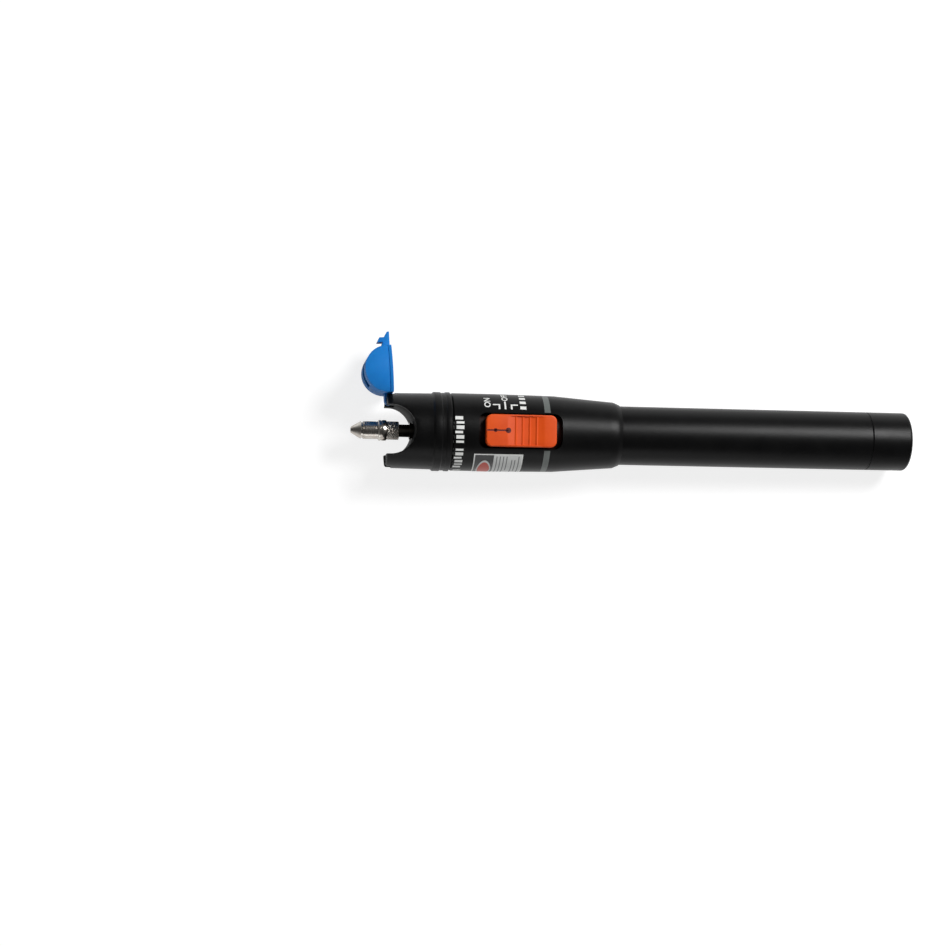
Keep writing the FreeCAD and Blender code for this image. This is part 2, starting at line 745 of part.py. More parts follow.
def laser_diode():
    """Metal-can diode with its three leads."""
    can = cylinder("DiodeCan", "can_r", "can_len", f"{DIODE_X} - can_len")
    base = cylinder("DiodeBase", "diode_r", "diode_t", DIODE_X)
    rear = DIODE_X + " + diode_t"
    corner = "lead_circle / sqrt(2)"
    spots = ((corner, corner), ("0 - " + corner, corner), ("0", "0 - lead_circle"))
    leads = [
        cylinder(f"DiodeLead{n}", "lead_r", "lead_len", rear, y, z)
        for n, (y, z) in enumerate(spots, start=1)
    ]
    finish(joined("LaserDiodeSolid", can, base, *leads), "laser_diode")


def diode_ring():
    """Threaded ring that holds the diode in the housing."""
    start = DIODE_X + " + diode_t"
    ring = cut(
        "DiodeRingSolid",
        cylinder("DiodeRingOuter", "diode_r", "ring_t", start),
        cylinder("DiodeRingHole", "ring_hole_r", "ring_t", start),
    )
    finish(ring, "diode_ring")


# ---------------------------------------------------------------- body and thumb switch

BOARD_TOP = "board_t / 2"

def main_body():
    """Turned aluminium body with the switch window and the taper to the barrel."""
    body = turned_body(
        "BodyShell",
        [
            ("head_len", "bore_r"),
            ("head_len", "body_r - front_edge"),
            ("head_len + front_edge", "body_r"),
            ("bend_x", "body_r"),
            ("(bend_x + taper_x) / 2", "body_mid_r"),
            ("taper_x", "body_back_r"),
            ("taper_end_x", "body_end_r"),
            ("body_end_x", "barrel_r + seat_gap + end_lip"),
            ("body_end_x", "barrel_r + seat_gap"),
            ("shoulder_x + rib_t", "barrel_r + seat_gap"),
            ("shoulder_x + rib_t", "rib_hole_r"),
            ("shoulder_x", "rib_hole_r"),
            ("shoulder_x", "bore_r"),
        ],
    )
    window = rounded_block("Window", "window_len", "window_w", "window_round", "0", "2 * body_r")
    finish(cut("MainBodySolid", body, window), "main_body")


def rounded_block(name, length, width, radius, low, height):
    """A block with round corners, centred on the middle of the switch."""
    near, side = f"switch_x - {length} / 2", f"0 - {width} / 2"
    long_box = box(
        name + "Long", near, f"{side} + {radius}", low, length, f"{width} - 2 * {radius}", height
    )
    wide_box = box(
        name + "Wide", f"{near} + {radius}", side, low, f"{length} - 2 * {radius}", width, height
    )
    corners = [
        cylinder(
            f"{name}Corner{n}",
            radius,
            height,
            f"switch_x + ({along}) * ({length} / 2 - {radius})",
            f"({across}) * ({width} / 2 - {radius})",
            low,
            Z_AXIS,
        )
        for n, (along, across) in enumerate(((1, 1), (1, -1), (-1, 1), (-1, -1)), start=1)
    ]
    return joined(name + "Block", long_box, wide_box, *corners)


def rectangle(sketch, middle_x, length, width):
    """A rectangle centred on the X axis."""
    front = f"{middle_x} - {length} / 2"
    rear = f"{middle_x} + {length} / 2"
    near = f"0 - {width} / 2"
    far = f"{width} / 2"
    polygon(sketch, [(front, near), (rear, near), (rear, far), (front, far)])


def switch_slider():
    """Moulded thumb slider: block with a ribbed hollow, marks, and a curved plate that guides it."""
    block = new_body("SliderBlock")
    sketch = new_sketch(block, "SliderOutline", "XY_Plane")
    sketch.setExpression("AttachmentOffset.Base.z", cells("slider_low"))
    rectangle(sketch, "switch_x", "slider_len", "slider_w")
    pad = block.newObject("PartDesign::Pad", "SliderPad")
    pad.Profile = sketch
    bind(pad, Length="slider_top - slider_low")
    doc.recompute()
    fillet(block, "SliderCorners", "slider_round", is_upright)
    top = value("slider_top")
    fillet(block, "SliderTopEdge", "slider_edge", lambda edge: edge.BoundBox.ZMin > top - TOUCH)

    plate_r = "bore_r - slide_gap"
    tube = cut(
        "PlateTube",
        cylinder("PlateOuter", plate_r, "flange_len", "switch_x - flange_len / 2"),
        cylinder("PlateInner", plate_r + " - plate_t", "flange_len", "switch_x - flange_len / 2"),
    )
    sector = box(
        "PlateSector",
        "switch_x - flange_len / 2",
        "0 - flange_w / 2",
        "0",
        "flange_len",
        "flange_w",
        plate_r,
    )
    plate = shared("GuidePlate", tube, sector)

    hollow = cylinder(
        "ThumbHollow",
        "scoop_r",
        "slider_w - 2 * slider_edge",
        "switch_x + scoop_x",
        "slider_w / 2 - slider_edge",
        "slider_top + scoop_r - scoop_depth",
        ACROSS,
    )
    ribs = [
        cylinder(
            f"GripRib{n}",
            "rib_r",
            "slider_w - 2 * slider_edge",
            f"switch_x + scoop_x + ({n - 1.5}) * rib_pitch",
            "slider_w / 2 - slider_edge",
            f"slider_top + scoop_r - scoop_depth - rib_sink"
            f" - sqrt(scoop_r ^ 2 - (({n - 1.5}) * rib_pitch) ^ 2)",
            ACROSS,
        )
        for n in range(4)
    ]
    mark_z = "slider_top - groove_depth"
    line = box(
        "SliderLine",
        "switch_x - dot_x - groove_len",
        "0 - groove_w / 2",
        mark_z,
        "groove_len",
        "groove_w",
        "1",
    )
    large = cylinder("LargeDot", "dot_r", "1", "switch_x - dot_x", "0", mark_z, Z_AXIS)
    small = cylinder(
        "SmallDot", "dot_small_r", "1", "switch_x - dot_x - dot_step", "0", mark_z, Z_AXIS
    )
    key = "stem_w + 2 * stem_gap"
    seat = box(
        "LeverSeat",
        f"switch_x - ({key}) / 2",
        f"0 - ({key}) / 2",
        "0",
        key,
        key,
        "stem_top + stem_gap",
    )
    blank = cut("SliderBlank", joined("BlockAndPlate", block, plate), hollow)
    whole = cut("SwitchSliderSolid", joined("RibbedSlider", blank, *ribs), line, large, small, seat)
    finish(whole, "switch_slider")


def switch_lever():
    """Lever of the slide switch, with a foot inside the case and a stem in the slider."""
    roof = f"{BOARD_TOP} + switch_h - switch_wall - key_gap"
    stem = box(
        "LeverStem",
        "switch_x - stem_w / 2",
        "0 - stem_w / 2",
        roof + " - key_h / 2",
        "stem_w",
        "stem_w",
        f"stem_top - ({roof} - key_h / 2)",
    )
    foot = box(
        "LeverFoot",
        "switch_x - key_len / 2",
        "0 - stem_w",
        roof + " - key_h",
        "key_len",
        "2 * stem_w",
        "key_h",
    )
    finish(joined("SwitchLeverSolid", stem, foot), "switch_lever")


def switch_case():
    """Folded steel case of the slide switch, on the board."""
    outer = box(
        "CaseOuter",
        "switch_x - switch_len / 2",
        "0 - switch_w / 2",
        BOARD_TOP,
        "switch_len",
        "switch_w",
        "switch_h",
    )
    inner = box(
        "CaseInner",
        "switch_x - switch_len / 2 + switch_wall",
        "0 - switch_w / 2 + switch_wall",
        BOARD_TOP + " + switch_wall",
        "switch_len - 2 * switch_wall",
        "switch_w - 2 * switch_wall",
        "switch_h - 2 * switch_wall",
    )
    slot = box(
        "CaseSlot",
        "switch_x - stem_w / 2 - travel - stem_gap",
        "0 - stem_w / 2 - stem_gap",
        BOARD_TOP + " + switch_h - 2 * switch_wall",
        "stem_w + 2 * travel + 2 * stem_gap",
        "stem_w + 2 * stem_gap",
        "2 * switch_wall",
    )
    finish(cut("SwitchCaseSolid", outer, inner, slot), "switch_case")


# ---------------------------------------------------------------- circuit board


def circuit_board():
    """Driver board along the axis of the pen."""
    low = ("0 - board_w / 2", "0 - board_t / 2")
    board = box("BoardPlate", "board_x", *low, "board_len", "board_w", "board_t")
    finish(board, "circuit_board", TO_TIPS + " + board_x", *low)


def board_carrier():
    """Moulded half-round trough that carries the board and rests on the rib in the body."""
    low = "0 - carrier_r"
    outer = cylinder("CarrierOuter", "carrier_r", "carrier_len", "carrier_x")
    inner = cylinder(
        "CarrierInner",
        "carrier_r - carrier_wall",
        "carrier_len - 2 * carrier_wall",
        "carrier_x + carrier_wall",
    )
    half = box(
        "CarrierHalf",
        "carrier_x",
        low,
        low,
        "carrier_len",
        "2 * carrier_r",
        "carrier_r - board_t / 2",
    )
    slots = [
        box(
            name,
            x,
            "0 - 2 * lead_circle",
            "0 - 2 * lead_circle",
            "carrier_wall",
            "4 * lead_circle",
            "2 * lead_circle",
        )
        for name, x in (
            ("CarrierLeadSlot", "carrier_x"),
            ("CarrierStemSlot", "carrier_x + carrier_len - carrier_wall"),
        )
    ]
    trough = cut("CarrierTrough", outer, inner, *slots)
    finish(shared("BoardCarrierSolid", trough, half), "board_carrier")


def board_parts():
    """What is soldered on the board: driver chip, current trimmer and two capacitors."""
    chip = box("Chip", "chip_x", "chip_y", BOARD_TOP, "chip_len", "chip_w", "chip_h")
    chip_row = "chip_len / 4"
    feet = [
        box(
            f"ChipFoot{side}{n}",
            f"chip_x + {n} * {chip_row} + {chip_row} / 4",
            y,
            BOARD_TOP,
            chip_row + " / 2",
            "chip_w / 6",
            "chip_h / 3",
        )
        for side, y in (("Far", "chip_y - chip_w / 6"), ("Near", "chip_y + chip_w"))
        for n in range(4)
    ]
    finish(joined("DriverChipSolid", chip, *feet), "driver_chip")

    trimmer = box("Trimmer", "trim_x", "trim_y", BOARD_TOP, "trim_w", "trim_w", "trim_h")
    screw = cylinder(
        "TrimmerScrew",
        "trim_screw_r",
        "trim_h / 4",
        "trim_x + trim_w / 2",
        "trim_y + trim_w / 2",
        BOARD_TOP + " + trim_h",
        Z_AXIS,
    )
    finish(joined("TrimmerSolid", trimmer, screw), "current_trimmer")

    capacitors = [
        box(f"Capacitor{n}", "trim_x", y, BOARD_TOP, "cap_long", "cap_size", "cap_high")
        for n, y in enumerate(
            ("0 - trim_y - cap_size", "0 - 2 * trim_y - 2 * cap_size"), start=1
        )
    ]
    finish(joined("CapacitorsSolid", *capacitors), "board_capacitors")


# ---------------------------------------------------------------- barrel, cells and contacts

BARREL_X = "shoulder_x + rib_t"
CELL_X = BARREL_X + " + disc_t + contact_t"
BARREL_END = CELL_X + " + 2 * cell_len - cell_reach"
TAIL_RING = BARREL_END + " - tail_ring_in"
TAIL_END = BARREL_END + " + tail_len"


def barrel():
    """Aluminium tube for the cells, with the tail cap's thread as a plain bore."""
    step = BARREL_END + " - thread_len - contact_t"
    body = turned_body(
        "barrel",
        [
            (BARREL_X, "barrel_bore_r"),
            (BARREL_X, "barrel_r"),
            (BARREL_END + " - seam_edge", "barrel_r"),
            (BARREL_END, "barrel_r - seam_edge"),
            (BARREL_END, "thread_r + thread_gap"),
            (step, "thread_r + thread_gap"),
            (step, "barrel_bore_r"),
        ],
    )
    finish(body, "barrel")


def front_contact():
    """Brass contact through an insulating disc, in front of the cells."""
    disc_end = BARREL_X + " + disc_t"
    disc = cut(
        "InsulatorSolid",
        cylinder("InsulatorDisc", "barrel_bore_r - seat_gap", "disc_t", BARREL_X),
        cylinder("InsulatorHole", "contact_stem_r + seat_gap", "disc_t", BARREL_X),
    )
    finish(disc, "contact_insulator")
    head = cylinder("ContactHead", "contact_r", "contact_t", disc_end)
    stem = cylinder(
        "ContactStem",
        "contact_stem_r",
        f"{disc_end} - board_x - board_len - seat_gap",
        "board_x + board_len + seat_gap",
    )
    finish(joined("FrontContactSolid", head, stem), "front_contact")


def cell(label, start):
    """AA cell with its button towards the nose."""
    end = start + " + cell_len"
    can = start + " + button_t"
    body = turned_body(
        label,
        [
            (start, "0"),
            (start, "button_r"),
            (can, "button_r"),
            (can, "cell_r - cell_edge"),
            (can + " + cell_edge", "cell_r"),
            (end + " - cell_edge", "cell_r"),
            (end, "cell_r - cell_edge"),
            (end, "0"),
        ],
    )
    finish(body, label)


def tail_cap():
    """Turned tail cap that screws into the barrel."""
    thread_x = BARREL_END + " - thread_len"
    inside = TAIL_END + " - tail_wall"
    ring_half = "(tail_ring_r + seat_gap)"
    groove_r = "thread_r - tail_ring_groove"
    body = turned_body(
        "tail_cap",
        [
            (thread_x, "barrel_bore_r"),
            (thread_x, "thread_r - seam_edge"),
            (thread_x + " + seam_edge", "thread_r"),
            (f"{TAIL_RING} - {ring_half}", "thread_r"),
            (f"{TAIL_RING} - {ring_half}", groove_r),
            (f"{TAIL_RING} + {ring_half}", groove_r),
            (f"{TAIL_RING} + {ring_half}", "thread_r"),
            (BARREL_END, "thread_r"),
            (BARREL_END, "barrel_r - seam_edge"),
            (BARREL_END + " + seam_edge", "barrel_r"),
            (TAIL_END, "barrel_r"),
            (TAIL_END, "0"),
            (inside, "0"),
            (inside, "barrel_bore_r"),
        ],
    )
    end = value(TAIL_END)
    fillet(
        body,
        "TailRounding",
        "tail_round",
        lambda edge: edge.Curve.TypeId == "Part::GeomCircle" and edge.BoundBox.XMin > end - TOUCH,
    )
    finish(body, "tail_cap")


def o_ring(name, label, x, groove_r, section):
    """Rubber ring lying in its groove."""
    ring = doc.addObject("Part::Torus", name)
    ring.Placement = Placement(Vector(), X_AXIS)
    bind(ring, Radius1=f"{groove_r} + {section}", Radius2=section)
    finish(ring, label, f"{TO_TIPS} + {x}")


def tail_contact():
    """Brass disc pressed into the tail cap, behind the spring."""
    disc = cylinder("TailContactDisc", "plate_r", "plate_thick")
    finish(disc, "tail_contact", f"{TO_TIPS} + {TAIL_END} - tail_wall - plate_thick")


def tail_spring():
    """Conical wire spring between the last cell and the tail contact."""
    tip = CELL_X + " + 2 * cell_len + seat_gap + wire_r"
    length = f"{TAIL_END} - tail_wall - plate_thick - seat_gap - wire_r - ({tip})"
    turns, reach = value("spring_turns"), value(length)
    wide, narrow, wire = value("spring_r"), value("spring_tip_r"), value("wire_r")
    path = conical_helix(narrow, wide, reach, turns)
    start, along = path.value(path.FirstParameter), path.tangent(path.FirstParameter)[0]
    ring = Part.Wire(Part.Circle(start, along, wire).toShape())
    coil = Part.Wire(path.toShape()).makePipeShell([ring], True, True)
    spring = doc.addObject("Part::Feature", "TailSpringCoil")
    coil.rotate(Vector(), Vector(0, 1, 0), 90)
    spring.Shape = coil
    finish(spring, "tail_spring", f"{TO_TIPS} + {tip}")


def conical_helix(first_r, last_r, height, turns):
    """A smooth spiral about Z, through 16 points a turn."""
    steps = round(16 * turns)
    points = []
    for n in range(steps + 1):
        share = n / steps
        radius = first_r + (last_r - first_r) * share
        turn = Rotation(Vector(0, 0, 1), 360 * turns * share)
        points.append(turn.multVec(Vector(radius, 0, 0)) + Vector(0, 0, height * share))
    path = Part.BSplineCurve()
    path.interpolate(points)
    return path


# ---------------------------------------------------------------- adapter, drawn from its mouth


def adapter():
    """Metal adapter from the port's 2.5 mm to a 1.25 mm ferrule: nose, body, plug and sleeve."""
    groove_x = "nose_len"
    body_x = "nose_len + nose_groove"
    cavity_r = "inner_sleeve_r + seat_gap"
    nose = turned_body(
        "adapter_nose",
        [
            ("0", "mouth_r"),
            ("0", "nose_tip_r"),
            (groove_x, "adapter_r"),
            (groove_x, "nose_groove_r"),
            (body_x, "nose_groove_r"),
            (body_x, "nose_spigot_r"),
            (body_x + " + nose_spigot_len", "nose_spigot_r"),
            (body_x + " + nose_spigot_len", cavity_r),
            ("mouth_len", cavity_r),
            ("mouth_len", "mouth_r"),
        ],
    )
    finish(nose, "adapter_nose", "0")

    sleeve_end = "mouth_len + inner_sleeve_play + inner_sleeve_len + 3 * seat_gap"
    spigot_end = body_x + " + nose_spigot_len + seat_gap"
    shaft = new_body("AdapterShaft")
    revolve(
        shaft,
        "AdapterTurning",
        [
            (body_x, "nose_spigot_r + seat_gap"),
            (body_x, "adapter_r"),
            ("collar_x", "adapter_r"),
            ("collar_x + collar_edge", "collar_r"),
            ("grip_x - collar_edge", "collar_r"),
            ("grip_x", "grip_r"),
            ("adapter_len", "grip_r"),
            ("adapter_len", "ferrule_r + seat_gap"),
            (sleeve_end, "ferrule_r + seat_gap"),
            (sleeve_end, cavity_r),
            (spigot_end, cavity_r),
            (spigot_end, "nose_spigot_r + seat_gap"),
        ],
    )
    flutes = []
    count = round(value("grip_flutes"))
    length = "adapter_len - grip_x"
    for n in range(count):
        flute = cylinder(f"Flute{n}", "flute_r", length, "grip_x")
        flute.setExpression("Placement.Base.y", f"Dims.grip_r * cos({n} * 360deg / Dims.grip_flutes)")
        flute.setExpression("Placement.Base.z", f"Dims.grip_r * sin({n} * 360deg / Dims.grip_flutes)")
        flutes.append(flute)
    finish(cut("AdapterBodySolid", shaft, *flutes), "adapter_body", "0")

    plug_end = "adapter_len + plug_len"
    plug = turned_body(
        "adapter_ferrule",
        [
            ("inner_stub_x", "0"),
            ("inner_stub_x", "inner_stub_r"),
            (sleeve_end, "inner_stub_r"),
            (sleeve_end, "ferrule_r"),
            (plug_end + " - plug_edge", "ferrule_r"),
            (plug_end, "ferrule_r - plug_edge / 2"),
            (plug_end, "0"),
        ],
    )
    finish(plug, "adapter_ferrule", "0")
    split_sleeve(
        "InnerSleeve",
        "adapter_sleeve",
        "inner_sleeve_r",
        "inner_bore_r",
        "inner_sleeve_len",
        "mouth_len + inner_sleeve_play + seat_gap",
        "0",
    )


# ---------------------------------------------------------------- build and write


def build():
    """Makes every sub-part."""
    front_head()
    hinge_pin()
    dust_cap()
    port_tube()
    split_sleeve(
        "PortSleeve",
        "port_sleeve",
        "sleeve_r",
        "ferrule_r + ferrule_fit",
        "sleeve_len",
        "lip_x + port_lip_t + 2 * seat_gap",
        TO_TIPS,
    )
    fibre_stub()
    laser_housing()
    focus_lens()
    laser_diode()
    diode_ring()
    main_body()
    switch_slider()
    switch_lever()
    switch_case()
    circuit_board()
    board_carrier()
    board_parts()
    barrel()
    front_contact()
    cell("battery_front", CELL_X)
    cell("battery_rear", CELL_X + " + cell_len")
    tail_cap()
    o_ring("HeadRing", "head_o_ring", HEAD_RING, "bore_r - seat_gap - head_ring_groove", "head_ring_r")
    o_ring("TailRing", "tail_o_ring", TAIL_RING, "thread_r - tail_ring_groove", "tail_ring_r")
    tail_contact()
    tail_spring()
    adapter()


def write():
    """Checks the document and writes each sub-part to its own file."""
    doc.recompute()
    failed = [o.Name for o in doc.Objects if "Invalid" in o.State or "Error" in o.State]
    if failed:
        raise RuntimeError("failed: " + ", ".join(failed))
    os.makedirs("parts", exist_ok=True)
    for node in NODES:
        shape = node.Shape
        if shape.isNull() or not shape.isValid():
            raise RuntimeError(node.Label + " has no valid shape")
        shape.exportStep(f"parts/{node.Label}.step")
        print(f"{node.Label}: {len(shape.Solids)} solid(s), {shape.Volume:.1f} mm3")


build()
write()
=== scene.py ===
"""Looks of a pen-type visual fault locator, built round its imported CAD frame."""

import json
import math

import bmesh
import bpy
from mathutils import Matrix, Vector
from mathutils.bvhtree import BVHTree

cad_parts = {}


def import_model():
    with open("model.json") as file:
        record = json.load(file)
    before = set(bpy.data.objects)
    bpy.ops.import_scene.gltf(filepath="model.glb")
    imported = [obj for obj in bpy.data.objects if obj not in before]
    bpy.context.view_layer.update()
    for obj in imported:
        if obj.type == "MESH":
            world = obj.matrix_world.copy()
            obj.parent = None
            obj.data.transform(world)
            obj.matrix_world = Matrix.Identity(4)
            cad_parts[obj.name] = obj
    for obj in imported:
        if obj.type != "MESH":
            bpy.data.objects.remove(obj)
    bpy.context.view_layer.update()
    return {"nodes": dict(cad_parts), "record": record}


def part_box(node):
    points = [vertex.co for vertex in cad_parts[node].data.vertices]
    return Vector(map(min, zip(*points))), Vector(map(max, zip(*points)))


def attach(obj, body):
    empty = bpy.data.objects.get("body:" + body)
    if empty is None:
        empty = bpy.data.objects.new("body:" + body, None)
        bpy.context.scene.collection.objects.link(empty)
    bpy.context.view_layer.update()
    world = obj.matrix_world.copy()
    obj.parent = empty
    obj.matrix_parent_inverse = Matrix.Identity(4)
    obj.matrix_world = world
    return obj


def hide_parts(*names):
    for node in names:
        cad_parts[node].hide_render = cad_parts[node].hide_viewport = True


MM = 0.001
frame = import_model()
NODES = frame["nodes"]
# The head's front face lies this far behind the row's origin, the adapter's mouth.
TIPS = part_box("front_head")[0].x


def at(x):
    """Row X, in metres, of a place that is x millimetres behind the fork tips."""
    return TIPS + x * MM


# ---------------------------------------------------------------- materials


class Look:
    """One procedural material and the nodes that make it."""

    def __init__(self, name, color, roughness, metallic=0.0):
        self.material = bpy.data.materials.new(name)
        self.material.use_nodes = True
        self.tree = self.material.node_tree
        self.shader = self.tree.nodes["Principled BSDF"]
        self.shader.inputs["Base Color"].default_value = (*color, 1)
        self.shader.inputs["Roughness"].default_value = roughness
        self.shader.inputs["Metallic"].default_value = metallic
        self.place = self.node("ShaderNodeTexCoord").outputs["Object"]
        self.normal = None

    def node(self, kind, inputs=(), **settings):
        made = self.tree.nodes.new(kind)
        for key, setting in settings.items():
            setattr(made, key, setting)
        for key, source in dict(inputs).items():
            self.feed(made.inputs[key], source)
        return made

    def feed(self, socket, source):
        if isinstance(source, bpy.types.NodeSocket):
            self.tree.links.new(source, socket)
        else:
            socket.default_value = source

    def set(self, **sockets):
        """Sets single values on the shader's own sockets."""
        for key, setting in sockets.items():
            self.shader.inputs[key.replace("_", " ")].default_value = setting

    def stretched(self, x=1.0, y=1.0, z=1.0):
        """The place, scaled along each axis."""
        return self.node(
            "ShaderNodeMapping", {"Vector": self.place, "Scale": (x, y, z)}
        ).outputs["Vector"]

    def noise(self, size_mm, detail=3.0, where=None):
        """Noise from 0 to 1 whose features are about size_mm across."""
        made = self.node(
            "ShaderNodeTexNoise",
            {
                "Vector": where or self.place,
                "Scale": 1 / (size_mm * MM),
                "Detail": detail,
                "Roughness": 0.55,
            },
        )
        return made.outputs["Fac"]

    def math(self, operation, a, b=0.0):
        return self.node("ShaderNodeMath", {0: a, 1: b}, operation=operation).outputs[0]

    def both(self, a, b):
        """1 where two conditions hold."""
        return self.math("MULTIPLY", a, b)

    def length(self, a, b):
        """The length of a vector of two parts."""
        squares = self.math("ADD", self.math("MULTIPLY", a, a), self.math("MULTIPLY", b, b))
        return self.math("SQRT", squares)

    def span(self, source, low, high, to_low=0.0, to_high=1.0):
        """Maps a range of values to another, and clamps it."""
        return self.node(
            "ShaderNodeMapRange",
            {
                "Value": source,
                "From Min": low,
                "From Max": high,
                "To Min": to_low,
                "To Max": to_high,
            },
        ).outputs["Result"]

    def parts(self):
        """X, Y and Z of the place."""
        made = self.node("ShaderNodeSeparateXYZ", {"Vector": self.place})
        return made.outputs["X"], made.outputs["Y"], made.outputs["Z"]

    def mixed(self, share, first, second):
        """A colour between two colours."""
        made = self.node("ShaderNodeMix", data_type="RGBA")
        for key, source in (("Factor_Float", share), ("A_Color", first), ("B_Color", second)):
            socket = next(s for s in made.inputs if s.identifier == key)
            if isinstance(source, tuple) and len(source) == 3:
                source = (*source, 1)
            self.feed(socket, source)
        return next(s for s in made.outputs if s.identifier == "Result_Color")

    def color(self, source):
        self.feed(self.shader.inputs["Base Color"], source)

    def rough(self, source):
        self.feed(self.shader.inputs["Roughness"], source)

    def bump(self, height, depth_mm):
        """Adds a relief to the ones before it."""
        inputs = {"Height": height, "Distance": depth_mm * MM}
        if self.normal is not None:
            inputs["Normal"] = self.normal
        self.normal = self.node("ShaderNodeBump", inputs).outputs["Normal"]
        self.feed(self.shader.inputs["Normal"], self.normal)


THREAD_PITCH = 1.0  # millimetres
MILLED_DULLER = 0.32  # added to the roughness of a milled surface


def black_coat(name="black_coat", thread=None, inside_mm=0.0):
    """Matte black anodised aluminium.

    thread is the span of X that carries a screw thread. Nearer to the pen's axis than inside_mm
    the surface is as milled, and duller.
    """
    look = Look(name, (0.004, 0.004, 0.0042), 0.36)
    cloud = look.noise(7, 4)
    grain = look.noise(0.16, 2)
    look.color(
        look.mixed(
            look.span(look.math("MULTIPLY", cloud, grain), 0.1, 0.4),
            (0.0020, 0.0020, 0.0021),
            (0.0040, 0.0040, 0.0041),
        )
    )
    x, y, z = look.parts()
    uneven = look.math("ADD", look.math("MULTIPLY", cloud, 0.5), grain)
    finish = look.span(uneven, 0.4, 1.1, 0.30, 0.42)
    if inside_mm:
        inside = look.math("LESS_THAN", look.length(y, z), inside_mm * MM)
        finish = look.math("ADD", finish, look.math("MULTIPLY", inside, MILLED_DULLER))
    look.rough(finish)
    turning = look.noise(1.2, 2, look.stretched(14, 0.4, 0.4))
    look.bump(turning, 0.006)
    look.bump(grain, 0.012)
    look.set(Specular_IOR_Level=0.13)
    if thread:
        turn = look.math("DIVIDE", look.math("ARCTAN2", y, z), 2 * math.pi)
        phase = look.math("ADD", look.math("DIVIDE", x, THREAD_PITCH * MM), turn)
        wave = look.math("PINGPONG", phase, 0.5)
        start, end = thread
        threaded = look.both(look.math("GREATER_THAN", x, start), look.math("LESS_THAN", x, end))
        look.bump(look.math("MULTIPLY", wave, threaded), 0.9)
    return look.material


def moulded(name, color, deep, roughness, spec=0.5):
    """Moulded plastic with a fine eroded grain and faint flow marks."""
    look = Look(name, color, roughness)
    flow = look.noise(9, 3)
    grain = look.noise(0.22, 2)
    look.color(look.mixed(look.span(flow, 0.35, 0.7), deep, color))
    look.rough(look.span(grain, 0.3, 0.7, roughness - 0.06, roughness + 0.08))
    look.bump(flow, 0.03)
    look.bump(grain, 0.010)
    look.set(Specular_IOR_Level=spec, Subsurface_Weight=0.06, Subsurface_Scale=0.0006)
    return look.material


# Slider, in millimetres behind the fork tips and above the pen's axis.
SWITCH_X = 43.0  # middle of the slider
LARGE_DOT_X = SWITCH_X - 4.3
SMALL_DOT_X = LARGE_DOT_X - 4.2
PLATE_TOP = 10.4  # the guide plate ends and the block starts
FACE_FOOT = 12.6  # the block's outer face is above this
INKED = ((LARGE_DOT_X, 0.9), (SMALL_DOT_X, 0.62))  # where ink has run, and how far


def slider_look():
    """Orange satin plastic with ink round the slider's two dots; below the block a dark reddish-brown
    is painted shade of the recess round the slider.
    """
    look = Look("orange_plastic", (0.74, 0.083, 0.007), 0.42)
    x, y, z = look.parts()
    flow = look.noise(9, 3)
    grain = look.noise(0.2, 2)
    orange = look.mixed(look.span(flow, 0.35, 0.7), (0.66, 0.068, 0.005), (0.76, 0.088, 0.007))
    block = look.math("GREATER_THAN", z, PLATE_TOP * MM)
    face = look.math("GREATER_THAN", z, FACE_FOOT * MM)
    for center, radius in INKED:
        reach = look.length(look.math("SUBTRACT", x, at(center)), y)
        inked = look.both(face, look.math("LESS_THAN", reach, radius * MM))
        orange = look.mixed(inked, orange, (0.11, 0.006, 0.004))
    # Under the block the guide plate takes a dark reddish-brown: painted shade of the recess round
    # the slider.
    look.color(look.mixed(block, (0.02, 0.006, 0.004), orange))
    look.rough(look.span(grain, 0.3, 0.7, 0.36, 0.5))
    look.bump(flow, 0.03)
    look.bump(grain, 0.010)
    look.set(Specular_IOR_Level=0.25)
    return look.material


def turned_metal(name, color, tint, roughness):
    """Turned and plated metal, with fine tool lines round the X axis."""
    look = Look(name, color, roughness, metallic=1.0)
    lines = look.noise(1.0, 3, look.stretched(1 / 0.09, 0.25, 0.25))
    stain = look.noise(1.6, 4)
    look.color(look.mixed(look.span(stain, 0.35, 0.7), color, tint))
    uneven = look.math("ADD", look.math("MULTIPLY", stain, 0.6), lines)
    look.rough(look.span(uneven, 0.5, 1.1, roughness - 0.06, roughness + 0.12))
    look.bump(lines, 0.004)
    return look.material


def ceramic_look():
    """Ground white ceramic with faint stains."""
    look = Look("zirconia", (0.83, 0.82, 0.78), 0.16)
    stain = look.noise(0.8, 3)
    look.color(look.mixed(look.span(stain, 0.4, 0.7), (0.83, 0.82, 0.78), (0.74, 0.73, 0.68)))
    look.rough(look.span(stain, 0.3, 0.7, 0.12, 0.22))
    look.set(Coat_Weight=0.4, Coat_Roughness=0.05)
    return look.material


def rubber_look():
    """Dull black rubber."""
    look = Look("rubber_ring", (0.012, 0.012, 0.012), 0.6)
    grain = look.noise(0.1, 3)
    look.color(look.mixed(grain, (0.009, 0.009, 0.009), (0.022, 0.022, 0.022)))
    look.rough(look.span(grain, 0.3, 0.7, 0.5, 0.72))
    look.bump(grain, 0.01)
    return look.material


def board_look():
    """Green solder mask with faint copper runs under it."""
    look = Look("solder_mask", (0.01, 0.16, 0.06), 0.35)
    _, y, _ = look.parts()
    cells = look.node(
        "ShaderNodeTexVoronoi",
        {"Vector": look.place, "Scale": 420.0},
        feature="F1",
        distance="CHEBYCHEV",
    ).outputs["Distance"]
    lanes = look.math("ADD", look.math("DIVIDE", y, 1.3 * MM), cells)
    runs = look.span(look.math("PINGPONG", lanes, 0.5), 0.2, 0.24)
    look.color(look.mixed(runs, (0.012, 0.20, 0.075), (0.008, 0.12, 0.045)))
    look.rough(look.span(look.noise(0.5), 0.3, 0.7, 0.28, 0.42))
    look.bump(runs, 0.03)
    look.set(Coat_Weight=0.3, Coat_Roughness=0.2)
    return look.material


CELLS_X = 66.6  # front of the first cell
CELL_LEN = 50


